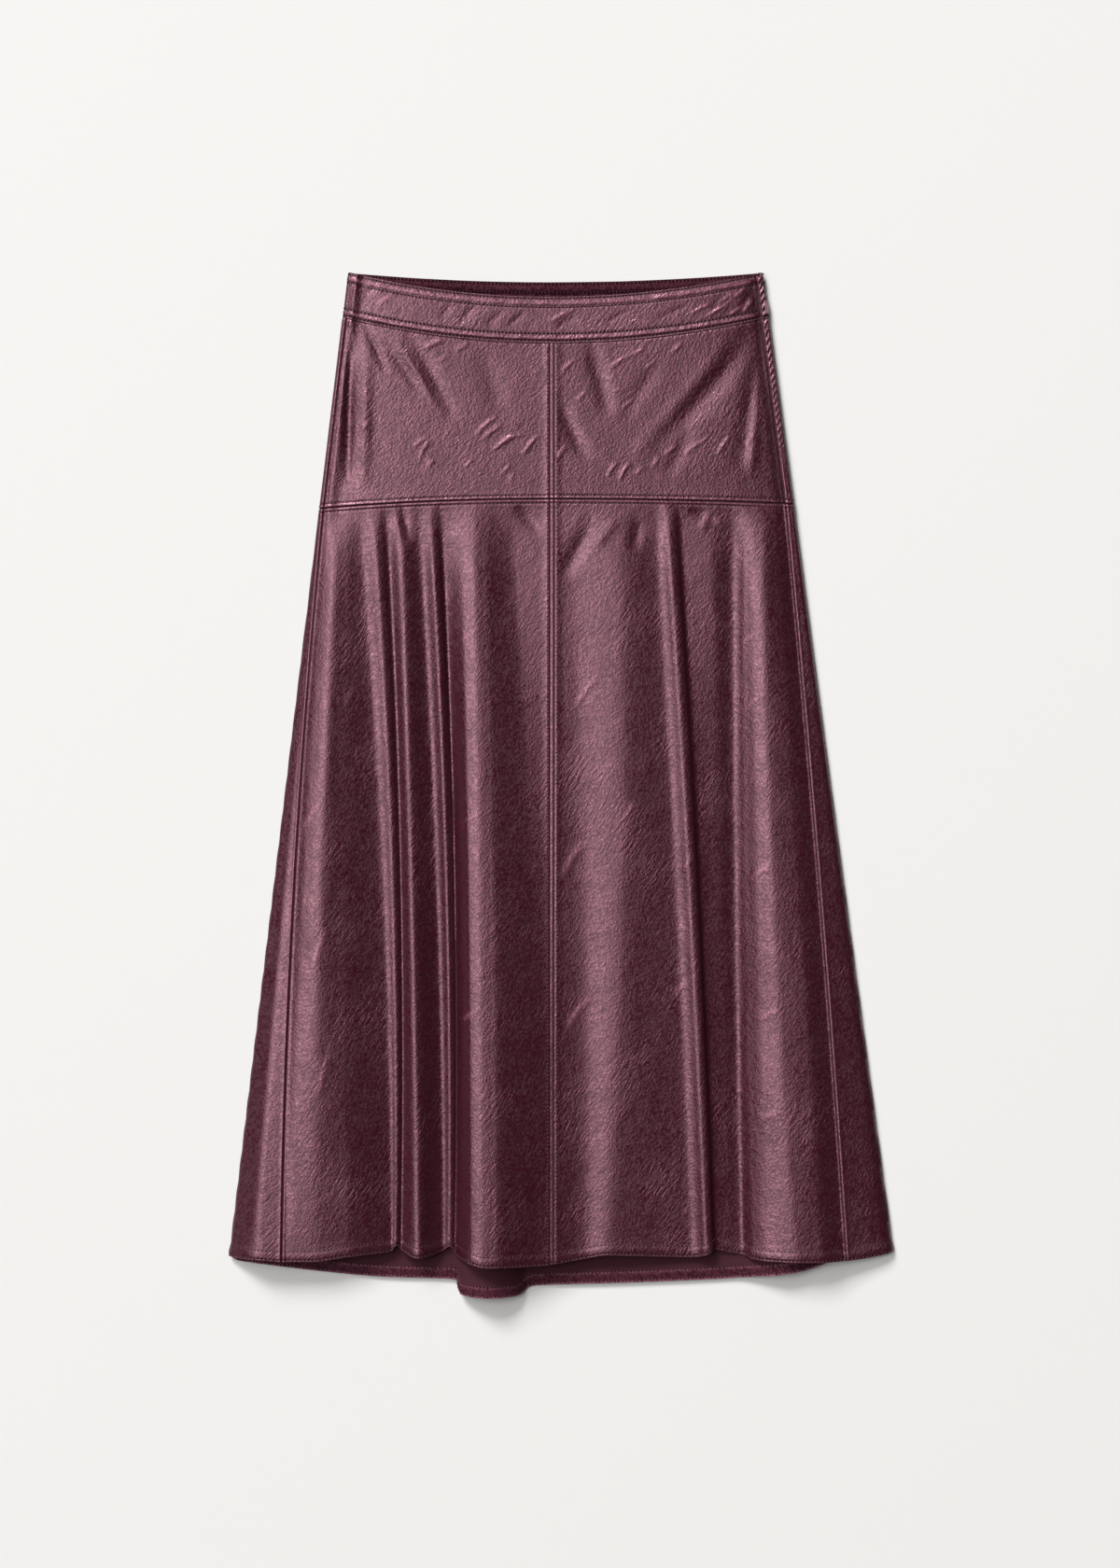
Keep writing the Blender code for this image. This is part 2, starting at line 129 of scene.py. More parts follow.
# Soft troughs (depth below zero) and ridges pressed into the leather between two points, thinning
# out towards both ends.  bow bends one sideways at its middle.
Crease = namedtuple("Crease", "x0 drop0 x1 drop1 width height bow")
FRONT_CREASES = [Crease(*row) for row in (
    # drag lines across the yoke, from the waistband towards the folds below
    (178, 44, 84, 150, 10.5, -2.1, 5),
    (181, 50, 158, 170, 8.0, -1.6, 3),
    (178, 76, 170, 178, 4.5, 1.2, 0),
    (152, 58, 68, 160, 8.0, 1.1, 4),
    (33, 58, 50, 124, 7.0, -1.6, 0),
    (6, 104, 32, 162, 6.0, -1.4, -2),
    (-160, 42, -140, 88, 3.6, -1.2, 0),
    (-144, 58, -110, 106, 4.8, -1.0, 1),
    (-125, 48, -82, 128, 6.0, -1.3, 2),
    (-134, 56, -98, 116, 3.2, 0.7, 1),
    (-172, 44, -174, 187, 4.2, -2.4, 0),
    (-158, 60, -160, 188, 5.5, 1.4, 0),
    (-60, 64, -40, 128, 9.0, -0.7, 0),
    (96, 74, 60, 132, 6.0, -0.6, -2),
    (120, 132, 96, 176, 6.5, -0.8, 2),
    # the tops of the folds, where the yoke seam gathers them in
    (-128, 196, -122, 232, 4.5, -1.5, 0),
    (-30, 200, -8, 222, 6.0, -1.3, 0),
    (36, 208, 8, 262, 6.5, -1.6, 2),
    (56, 212, 36, 236, 4.0, 0.7, 0),
    (118, 202, 142, 214, 4.0, -1.2, 0),
    (128, 222, 136, 204, 3.0, 0.9, 0),
    (70, 240, 76, 210, 5.0, -1.0, 0),
    # soft dents in the waistband
    (-96, 42, -84, 26, 3.0, -0.5, 0),
    (-78, 44, -62, 29, 3.4, -0.6, 1),
    (-56, 46, -40, 33, 2.8, -0.5, 0),
    (-38, 48, -20, 35, 2.6, -0.55, 1),
    (-4, 45, 22, 31, 1.7, 0.5, 1),
    (2, 50, 24, 36, 3.0, -0.5, 0),
    (44, 46, 66, 34, 2.4, -0.4, 1),
    (92, 40, 118, 28, 2.6, -0.4, 0),
    (136, 32, 158, 20, 2.4, -0.5, 1),
    (150, 24, 164, 17, 1.6, 0.5, 0),
    (160, 34, 174, 14, 2.6, -0.7, 0),
    (-160, 22, -148, 8, 2.6, -0.5, 0),
    (-150, 30, -132, 17, 2.0, 0.4, 0),
    # the waistband's right end sinks towards the zip, in short slanting wrinkles
    (186, -8, 192, 62, 16.0, -1.6, 0),
    (118, 37, 138, 27, 1.3, 0.5, 0.8),
    (132, 39, 152, 28, 1.3, 0.6, 0.8),
    (140, 30, 160, 16, 1.4, 0.65, 0.8),
    (152, 38, 167, 27, 1.2, 0.55, 0.6),
    (157, 22, 169, 11, 1.2, 0.6, 0.6),
    (164, 35, 174, 23, 1.2, 0.5, 0.4),
    # short pinches in the yoke, lit along their tops by painted highlight
    (-162, 136, -154, 129, 1.5, 0.6, 0.6),
    (-118, 151, -104, 142, 1.5, 0.7, 1.4),
    (-112, 160, -102, 143, 1.4, 0.75, 1.6),
    (-105, 166, -100, 161, 1.3, 0.6, 0.2),
    (-109, 66, -92, 58, 1.8, 0.85, 0.5),
    (-82, 69, -70, 61, 1.5, 0.6, 0.6),
    (-98, 78, -88, 72, 1.3, 0.4, 0.4),
    (-65, 142, -45, 124, 1.4, 0.7, 2.4),
    (-60, 145, -42, 131, 1.4, 0.65, 1.0),
    (-50, 153, -31, 140, 1.6, 0.9, 0.8),
    (-43, 142, -20, 138, 1.3, 0.5, -0.8),
    (-25, 158, -9, 139, 1.5, 0.8, 1.4),
    (-42, 173, -34, 165, 1.3, 0.5, 0.5),
    (-36, 180, -31, 172, 1.2, 0.4, 0.3),
    (-74, 168, -66, 160, 1.3, 0.4, 0.4),
    (4, 162, 13, 149, 1.6, 0.8, 0.5),
    (48, 176, 57, 163, 1.5, 0.8, 1.2),
    (58, 180, 68, 163, 1.4, 0.85, 1.4),
    (72, 174, 80, 166, 1.3, 0.5, 0.4),
    (86, 168, 93, 158, 1.3, 0.5, 0.4),
    (96, 158, 108, 148, 1.3, 0.55, 0.6),
    (113, 157, 134, 142, 1.5, 0.65, 1.0),
    (142, 157, 154, 140, 1.5, 0.85, 1.2),
    (167, 148, 174, 138, 1.3, 0.6, 0.4),
    (8, 88, 22, 74, 1.4, 0.5, 1.0),
    (21, 111, 32, 102, 1.4, 0.55, 0.6),
    (48, 84, 66, 72, 1.5, 0.7, 0.8),
    (64, 74, 81, 66, 1.4, 0.6, 0.6),
    (80, 84, 90, 76, 1.3, 0.45, 0.5),
    (103, 70, 113, 61, 1.6, 0.75, 0.6),
    (51, 103, 62, 101, 1.3, 0.4, 0.5),
    (60, 118, 72, 108, 1.3, 0.4, 0.5),
    # pinches and dents along the crests of the lower skirt
    (-176, 372, -168, 356, 1.37, 0.36, 0.6),
    (-78, 316, -64, 308, 1.56, 0.36, 0.5),
    (-74, 470, -58, 462, 1.56, 0.45, 0.6),
    (-76, 640, -60, 628, 1.76, 0.41, 0.8),
    (-70, 690, -58, 682, 1.56, 0.31, 0.5),
    (20, 372, 44, 342, 1.76, 0.36, 1.2),
    (8, 520, 30, 486, 2.15, 0.41, 2),
    (12, 650, 34, 620, 2.35, 0.45, 2),
    (60, 470, 74, 452, 1.76, 0.36, 0.8),
    (112, 512, 122, 498, 1.56, 0.45, 0.6),
    (106, 620, 118, 604, 1.76, 0.36, 0.8),
    (160, 320, 176, 308, 1.46, 0.36, 0.8),
    (162, 376, 184, 360, 1.76, 0.41, 0.8),
    (168, 520, 190, 506, 1.95, 0.41, 1),
    (178, 640, 196, 630, 2.15, 0.45, 1),
    (176, 726, 198, 716, 1.95, 0.45, 1),
    (-216, 480, -196, 452, 1.95, 0.36, 1),
    (-204, 600, -190, 560, 2.35, 0.41, 1.5),
    (-198, 700, -186, 662, 2.15, 0.36, 1.2),
    (-236, 724, -222, 718, 1.56, 0.36, 0.4),
)]
BACK_CREASES = [Crease(*row) for row in (
    # gutters where the lower back lifts off the table, and the marks of having been sat in
    (-176, 214, -214, 820, 9.0, -2.3, 0),
    (-118, 206, -126, 700, 7.0, -2.0, 4),
    (44, 210, 46, 830, 10.0, -2.4, -4),
    (112, 206, 128, 760, 8.0, -2.2, 3),
    (150, 60, 92, 168, 7.0, -1.2, 0),
    (-150, 60, -84, 172, 7.0, -1.3, 0),
    (-96, 186, -20, 172, 4.0, -0.9, 3),
    (20, 170, 104, 186, 4.0, -0.9, -3),
    (-90, 250, -30, 236, 4.0, -0.9, 2),
    (14, 240, 88, 254, 4.0, -0.8, -2),
    (-60, 130, -46, 116, 1.3, -0.8, 1.0),
    (30, 126, 46, 112, 1.3, -0.8, 1.0),
    (80, 420, 98, 400, 1.8, -0.9, 1.0),
    (-70, 520, -54, 504, 1.8, -0.9, 1.0),
    (-180, 420, -166, 402, 1.8, -0.9, 1.0),
)]


def smooth(share):
    """Eases from 0 to 1 as share does."""
    share = np.clip(share, 0.0, 1.0)
    return share * share * (3 - 2 * share)


def bowed(values, share):
    """A parabola through three columns at 0, a half and 1."""
    return (values[:, 0] * (1 - share) * (1 - 2 * share)
            + 4 * values[:, 1] * share * (1 - share)
            + values[:, 2] * share * (2 * share - 1))


def side_edge(x, drop):
    """The hips' edge on the side that x is on, at a drop."""
    return np.where(x < 0, WAIST_LEFT + FLARE_LEFT * drop, WAIST_RIGHT + FLARE_RIGHT * drop)


def lines_at(level):
    """x, drop and z of every cloth line at a level."""
    x_yoke, z_yoke, hem = DATA[:, 0], DATA[:, 3], DATA[:, 6]
    across = x_yoke / side_edge(x_yoke, YOKE_DROP)
    sag = np.where((x_yoke < 0) & ~ON_BACK, YOKE_SAG, BACK_YOKE_SAG)
    yoke_drop = YOKE_DROP + sag * across ** 2
    flat = np.where(CROWNED, EDGE_HEIGHT + (CROWN - EDGE_HEIGHT) * (1 - across ** 6), z_yoke)
    if level >= YOKE_SEAM:
        share = level - YOKE_SEAM
        grown = 1 - np.clip(1 - share / GATHER_END, 0.0, 1.0) ** GATHER_SPEED
        z = flat + (bowed(DATA[:, 3:6], share) - flat) * grown
        return np.stack((bowed(DATA[:, 0:3], share), yoke_drop + (hem - yoke_drop) * share, z), axis=1)
    bend = 1 - across ** 2
    top = np.where(ON_BACK, BACK_DIP, FRONT_DIP) * bend
    seam = BAND_DROP + np.where(ON_BACK, BAND_BACK_DIP, BAND_DIP) * bend
    drop = seam + (yoke_drop - seam) * (level - 1) if level >= BAND_SEAM else top + (seam - top) * level
    side, yoke_side = side_edge(x_yoke, drop), side_edge(x_yoke, yoke_drop)
    x = side + (x_yoke - yoke_side) * side / yoke_side
    lowered = WAIST_FLATTENING + (1 - WAIST_FLATTENING) * level / YOKE_SEAM
    return np.stack((x, drop, flat * np.where(CROWNED, lowered, 1.0)), axis=1)


def ring(places, level):
    """Points of the outer face round the tube: a monotone cubic through the cloth lines."""
    knots = lines_at(level)
    step = np.roll(knots, -1, axis=0) - knots
    before = np.roll(step, 1, axis=0)
    same_way = before * step > 0
    slope = np.where(same_way, 2 * before * step / np.where(same_way, before + step, 1.0), 0.0)
    base = np.floor(places).astype(int)
    t = (places - base)[:, None]
    a, b = base % ROUND, (base + 1) % ROUND
    r = 1 - t
    return (knots[a] * r * r * (1 + 2 * t) + slope[a] * t * r * r
            + knots[b] * t * t * (3 - 2 * t) - slope[b] * t * t * r)


# ridges narrower than this, in mm, get a painted highlight along their tops
NARROW_RIDGE = 3.0


def creased(x, drop, creases):
    """Height that a list of creases adds at each place, and the painted highlight along the narrow ridges'
    tops.
    """
    height, painted_light = np.zeros_like(x), np.zeros_like(x)
    for crease in creases:
        along = np.array((crease.x1 - crease.x0, crease.drop1 - crease.drop0), float)
        length = np.hypot(*along)
        along /= length
        dx, dy = x - crease.x0, drop - crease.drop0
        share = (dx * along[0] + dy * along[1]) / length
        inside = np.clip(share, 0.0, 1.0)
        side = dx * along[1] - dy * along[0] - crease.bow * 4 * inside * (1 - inside)
        swell = np.sin(math.pi * inside) ** 0.8 * (share > 0) * (share < 1)
        profile = swell * np.exp(-(side / crease.width) ** 2)
        height += crease.height * profile
        if crease.width < NARROW_RIDGE and crease.height > 0:
            painted_light += profile
    return height, np.clip(painted_light, 0, 1)


# how far from an edge of the cloth its first points lie
CLOSE = np.array((0.0, 0.3, 0.7, 1.2, 1.7, 2.2, 2.8, 3.5, 4.2, 4.9, 5.8, 7.2, 9.2))


def spaced(total, count):
    """Distances along a strip of cloth: close together near both of its edges, even between them."""
    middle = np.linspace(CLOSE[-1], total - CLOSE[-1], count + 1)[1:-1]
    return np.concatenate((CLOSE, middle, total - CLOSE[::-1]))


RULER_MARKS = 60


def cut_panel(first, last, level_start, level_end, pitch, row_pitch):
    """Points of a panel of the tube, and how far along and down the cloth each one lies.  A ruler with
    60 marks between each two cloth lines measures the lengths."""
    fine_places = np.linspace(first, last, RULER_MARKS * (last - first) + 1)
    middle = int(first + (last - first) // 2) % ROUND
    height = lines_at(level_end)[middle, 1] - lines_at(level_start)[middle, 1]
    downs = spaced(height, int(round(height / row_pitch)))
    widest = np.linalg.norm(np.diff(ring(fine_places, level_end), axis=0), axis=1).sum()
    count = int(round(widest / pitch))
    points, alongs = [], []
    for down in downs:
        curve = ring(fine_places, level_start + (level_end - level_start) * down / height)
        run = np.concatenate(((0.0,), np.cumsum(np.linalg.norm(np.diff(curve, axis=0), axis=1))))
        marks = spaced(run[-1], count)
        points.append(np.stack([np.interp(marks, run, curve[:, axis]) for axis in range(3)], axis=1))
        alongs.append(marks)
    return np.array(points), np.array(alongs), np.repeat(downs[:, None], len(marks), axis=1), height


def normals_of(grid):
    """Unit normals that point out of the tube, with y up the skirt."""
    down, across = (np.gradient(grid, axis=axis) * np.array((1, -1, 1)) for axis in (0, 1))
    normal = np.cross(down, across)
    return normal / np.linalg.norm(normal, axis=2, keepdims=True)


def bump(distance, centre, width):
    """A rounded ridge of height 1, which has sunk to a third at its width from its centre."""
    return np.exp(-((distance - centre) / width) ** 2)


SHOULDER = 3.5


def topstitched(distance):
    """Height and painted light beside the upright seam: a narrow welt between two pressed grooves, then a low
    shoulder that the topstitching holds.  Painted highlight lightens the welt and the shoulder, painted shade
    darkens the grooves."""
    shoulder = bump(distance, SHOULDER, np.where(distance < SHOULDER, 1.1, 3.2))
    height = 0.3 * bump(distance, 0.0, 0.9) - 0.6 * bump(distance, 1.85, 0.5) + 0.5 * shoulder
    painted_shading = 0.6 * bump(distance, 0.0, 0.8) - 1.1 * bump(distance, 1.9, 0.45) + 0.4 * bump(distance, 3.6, 0.8)
    return np.stack((height, painted_shading))


YOKE_ROW = 3.5


def lapped(distance):
    """Height and painted light beside the yoke seam: a sunken line, then a groove under the stitch row, both
    darkened by painted shade, with a painted highlight on the lip between them.
    """
    height = (0.4 * bump(distance, 1.6, 0.8) - 0.7 * bump(distance, 0.0, 0.45)
              - 0.3 * bump(distance, YOKE_ROW, 0.6) + 0.15 * bump(distance, 5.2, 1.2))
    painted_shading = (0.4 * bump(distance, 1.7, 0.6) - 1.2 * bump(distance, 0.0, 0.6)
            - 0.5 * bump(distance, YOKE_ROW, 0.5))
    return np.stack((height, painted_shading))


def plain_seam(distance):
    """Height and painted light beside a side seam, which has no topstitching: painted shade in the seam line,
    a faint painted highlight on its lip.
    """
    height = 0.3 * bump(distance, 1.6, 1.1) - 0.9 * bump(distance, 0.0, 0.7)
    return np.stack((height, 0.3 * bump(distance, 1.6, 0.7) - 0.8 * bump(distance, 0.0, 0.6)))


def lit_seam(distance):
    """Height and painted light beside the right side seam, whose folded edge stands up and carries a painted
    highlight, with painted shade in the seam line.
    """
    height = 0.45 * bump(distance, 1.0, 0.8) - 0.9 * bump(distance, 0.0, 0.5)
    return np.stack((height, 0.9 * bump(distance, 0.9, 0.5) - 0.8 * bump(distance, 0.0, 0.4)))


def zip_edge(distance):
    """Height and painted light of the front beside the zip, which pulls it down into a gutter darkened by
    painted shade.
    """
    height = -0.9 * bump(distance, 0.0, 1.2) - 0.7 * bump(distance, 3.0, 3.0)
    return np.stack((height, -0.7 * bump(distance, 2.0, 3.4)))


HEM_LOW_ROW, HEM_HIGH_ROW = 1.6, 9.2


def hem_edge(distance):
    """Height and painted light of the turned-up hem: a rounded edge with a painted highlight, and two rows of
    stitching above it in painted shade.
    """
    turned_up = 0.35 * smooth((HEM_TURN + 1.0 - distance) / 2) + 0.2 * bump(distance, 5.4, 2.6)
    height = (turned_up - 0.5 * bump(distance, 0.0, 0.6)
              - 0.35 * bump(distance, HEM_LOW_ROW, 0.6) - 0.4 * bump(distance, HEM_HIGH_ROW, 0.7))
    painted_shading = (0.35 * bump(distance, 0.4, 0.5)
            - 0.5 * (bump(distance, HEM_LOW_ROW, 0.5) + bump(distance, HEM_HIGH_ROW, 0.6)))
    return np.stack((height, painted_shading))


def linear(hex_colour):
    """An sRGB hex colour as linear red, green, blue and alpha."""
    channels = [int(hex_colour[i:i + 2], 16) / 255 for i in (1, 3, 5)]
    return (*[c / 12.92 if c <= 0.04045 else ((c + 0.055) / 1.055) ** 2.4 for c in channels], 1.0)


def add_node(tree, kind, settings=None, **links):
    """Adds a node; settings are its properties or default inputs, links feed its sockets."""
    node = tree.nodes.new(kind)
    for key, value in (settings or {}).items():
        if isinstance(key, str) and hasattr(node, key):
            setattr(node, key, value)
        else:
            node.inputs[key].default_value = value
    for key, source in links.items():
        numbered = key[0] == "_" and key[1:].isdigit()
        tree.links.new(source, node.inputs[int(key[1:]) if numbered else key.replace("_", " ")])
    return node


PEBBLES, PEBBLE_SLANT = (450, 530), 60  # in a metre each way, so 2.2 x 1.9 mm; slant in degrees
CRINKLES, CRINKLE_SLANT = (55, 230), 56  # 18 x 4.3 mm
PEBBLE_DEPTH, CRINKLE_DEPTH, MOTTLE_DEPTH = 0.36 * MM, 0.5 * MM, 1.6 * MM
# first colour: grain valleys, darker partly by their finish and partly as painted shade, and seams' painted
# shade
VALLEY_AND_SHADE, BLOOM = "#1c030c", "#dea0b1"  # colour of the grain's valleys and of painted shade; the coating's sheen


def pebbles(tree, place):
    """The embossed grain.  Real pebbles are about 1 mm wide and wouldn't show, so they are drawn at 2 mm."""
    grain = add_node(tree, "ShaderNodeMapping", {
        "vector_type": "TEXTURE", "Rotation": (0, 0, math.radians(PEBBLE_SLANT)),
        "Scale": (1 / PEBBLES[0], 1 / PEBBLES[1], 1)}, Vector=place)
    cells = add_node(tree, "ShaderNodeTexVoronoi", {"feature": "SMOOTH_F1", "Scale": 1.0, "Smoothness": 0.35},
                     Vector=grain.outputs[0])
    return cells.outputs["Distance"]


def crinkles(tree, place, whole):
    """Slanting creases, 4 mm apart, in patches of a few centimetres."""
    slant = add_node(tree, "ShaderNodeMapping", {
        "vector_type": "TEXTURE", "Rotation": (0, 0, math.radians(CRINKLE_SLANT)),
        "Scale": (1 / CRINKLES[0], 1 / CRINKLES[1], 1)}, Vector=place)
    noise = add_node(tree, "ShaderNodeTexNoise", {"Scale": 1.0, "Detail": 3.0, "Roughness": 0.55},
                     Vector=slant.outputs[0])
    fold = add_node(tree, "ShaderNodeMath", {"operation": "SUBTRACT", 1: 0.5}, _0=noise.outputs["Fac"])
    ridge = add_node(tree, "ShaderNodeMath", {"operation": "ABSOLUTE"}, _0=fold.outputs[0])
    sharp = add_node(tree, "ShaderNodeMapRange", {
        "From Min": 0.0, "From Max": 0.12, "To Min": 1.0, "To Max": 0.0}, Value=ridge.outputs[0])
    clouds = add_node(tree, "ShaderNodeTexNoise", {"Scale": 14.0, "Detail": 3.0}, Vector=whole)
    patch = add_node(tree, "ShaderNodeMapRange", {"From Min": 0.42, "From Max": 0.72},
                     Value=clouds.outputs["Fac"])
    return add_node(tree, "ShaderNodeMath", {"operation": "MULTIPLY"},
                    _0=sharp.outputs[0], _1=patch.outputs[0]).outputs[0]


def leather(name, dark, light, painted_light, roughness=0.3, gloss=1.2, coat=0.18, relief=1.0):
    """Coated sheepskin look: satin tops with a pink bloom where they face the light, and matt dark valleys
    between them, darker partly by their finish and partly by painted shade.  The cloth's painted light is 1
    where a painted highlight in the third colour lightens an edge, lip or ridge, and -1 where painted shade
    darkens a seam.  A noise's Scale is the number of its clouds in a metre."""
    material = bpy.data.materials.new(name)
    material.use_nodes = True
    tree = material.node_tree
    shader = tree.nodes["Principled BSDF"]
    uv = add_node(tree, "ShaderNodeUVMap", {"uv_map": "cloth"}).outputs["UV"]
    wander = add_node(tree, "ShaderNodeTexNoise", {"Scale": 90.0, "Detail": 2.0}, Vector=uv)
    offset = add_node(tree, "ShaderNodeVectorMath", {"operation": "SCALE", "Scale": 1.6 * MM},
                      _0=wander.outputs["Color"])
    moved = add_node(tree, "ShaderNodeVectorMath", {"operation": "ADD"},
                     _0=uv, _1=offset.outputs[0]).outputs[0]
    pebble = pebbles(tree, moved)
    crinkle = crinkles(tree, moved, uv)
    mottle = add_node(tree, "ShaderNodeTexNoise", {"Scale": 48.0, "Detail": 4.0, "Roughness": 0.6},
                      Vector=moved).outputs["Fac"]

    cloud = add_node(tree, "ShaderNodeMapRange", {"From Min": 0.3, "From Max": 0.7}, Value=mottle).outputs[0]
    dyed = add_node(tree, "ShaderNodeMix", {"data_type": "RGBA", 6: linear(dark), 7: linear(light)},
                    Factor=cloud)
    # painted light that the cloth carries: above zero painted highlight in the third colour, below zero
    # painted shade
    pressed = add_node(tree, "ShaderNodeAttribute", {"attribute_name": "painted_light"}).outputs["Fac"]
    painted_shading = add_node(tree, "ShaderNodeMapRange", Value=pressed).outputs[0]
    painted_seam_shade = add_node(tree, "ShaderNodeMapRange", {"From Max": -1.0}, Value=pressed).outputs[0]
    varied = add_node(tree, "ShaderNodeMix", {"data_type": "RGBA", 7: linear(painted_light)},
                    Factor=painted_shading, _6=dyed.outputs[2])
    # grain valleys, darker partly by their finish and partly as painted shade, plus the painted shade of
    # seams
    valley = add_node(tree, "ShaderNodeMapRange", {"From Min": 0.28, "From Max": 0.72}, Value=pebble)
    valley_and_shade = add_node(tree, "ShaderNodeMath", {
        "operation": "MULTIPLY_ADD", 1: 0.5 + 0.2 * relief, "use_clamp": True},
        _0=valley.outputs[0], _2=painted_seam_shade).outputs[0]
    grained = add_node(tree, "ShaderNodeMix", {"data_type": "RGBA", 7: linear(VALLEY_AND_SHADE)},
                       Factor=valley_and_shade, _6=varied.outputs[2])
    tree.links.new(grained.outputs[2], shader.inputs["Base Color"])

    glints = add_node(tree, "ShaderNodeTexNoise", {"Scale": 300.0, "Detail": 1.0}, Vector=moved)
    glint = add_node(tree, "ShaderNodeMapRange", {"From Min": 0.5, "From Max": 0.64},
                     Value=glints.outputs["Fac"])
    polished = add_node(tree, "ShaderNodeMath", {"operation": "MULTIPLY"}, _0=glint.outputs[0], _1=cloud)
    dull = add_node(tree, "ShaderNodeMapRange", {
        "To Min": roughness + 0.04, "To Max": roughness - 0.06}, Value=cloud).outputs[0]
    for amount, source in ((0.32, valley_and_shade), (-0.18, polished.outputs[0]), (-0.14, painted_shading)):
        dull = add_node(tree, "ShaderNodeMath", {"operation": "MULTIPLY_ADD", 1: amount},
                        _0=source, _2=dull).outputs[0]
    tree.links.new(dull, shader.inputs["Roughness"])
    below = {}
    for height, depth, pressed_in in ((mottle, MOTTLE_DEPTH, False), (crinkle, CRINKLE_DEPTH, False),
                                      (pebble, PEBBLE_DEPTH * relief, True)):
        embossed = add_node(tree, "ShaderNodeBump", {
            "Strength": 0.5, "Distance": depth, "invert": pressed_in}, Height=height, **below)
        below = {"Normal": embossed.outputs[0]}
    tree.links.new(below["Normal"], shader.inputs["Normal"])
    shader.inputs["IOR"].default_value = 1.55
    shader.inputs["Specular IOR Level"].default_value = gloss
    shader.inputs["Specular Tint"].default_value = linear(BLOOM)
    shader.inputs["Coat Weight"].default_value = coat
    shader.inputs["Coat Roughness"].default_value = 0.3
    return material


def backing(name, colour):
    """Brushed knit that the coating lies on: matt, with a rib of 1.2 mm."""
    material = bpy.data.materials.new(name)
    material.use_nodes = True
    tree = material.node_tree
    shader = tree.nodes["Principled BSDF"]
    uv = add_node(tree, "ShaderNodeUVMap", {"uv_map": "cloth"}).outputs["UV"]
    rib = add_node(tree, "ShaderNodeTexWave", {"Scale": 260.0, "Distortion": 1.5, "Detail": 2.0}, Vector=uv)
    bump_rib = add_node(tree, "ShaderNodeBump", {"Strength": 0.3, "Distance": 0.3 * MM},
                        Height=rib.outputs["Fac"])
    tree.links.new(bump_rib.outputs[0], shader.inputs["Normal"])
    shader.inputs["Base Color"].default_value = linear(colour)
    shader.inputs["Roughness"].default_value = 0.85
    shader.inputs["Specular IOR Level"].default_value = 0.2
    return material


# the third colour of each leather is the pale colour of its painted highlight
burgundy = leather("burgundy coated leather, pebble grain", "#2a0611", "#360d1a", "#9a6473")
facing = leather("burgundy leather facing", "#3a1a24", "#45212c", "#8a5a68",
                 roughness=0.6, gloss=0.2, coat=0.0)
knit = backing("burgundy knit backing", "#35141e")

SHIFT = np.array((CENTRE_FRONT_X, LENGTH / 2, 0.0))


def placed(points):
    """Table x, drop, z to metres."""
    return (points * np.array((1, -1, 1)) + SHIFT) * MM


INSIDE_STEP, FINE_HEM_ROWS = 3, 18
SHARP_ANGLE = 70


def thinned(count, whole=0):
    """Every third index of a row of points, with the last one and all of the last few."""
    kept = [number for number in range(count) if number % INSIDE_STEP == 0 or number >= count - 1 - whole]
    return np.array(kept)


def rim_faces(outer_edge, inner_edge, marks):
    """Faces between an edge's fine points outside and its thinned ones inside."""
    return [[*outer_edge[a:b + 1][::-1], inner_edge[k], inner_edge[k + 1]]
            for k, (a, b) in enumerate(zip(marks, marks[1:]))]


def quads(corner):
    """Four-sided faces between the points of a grid."""
    squares = np.stack((corner[:-1, :-1], corner[1:, :-1], corner[1:, 1:], corner[:-1, 1:]), axis=2)
    return squares.reshape(-1, 4)


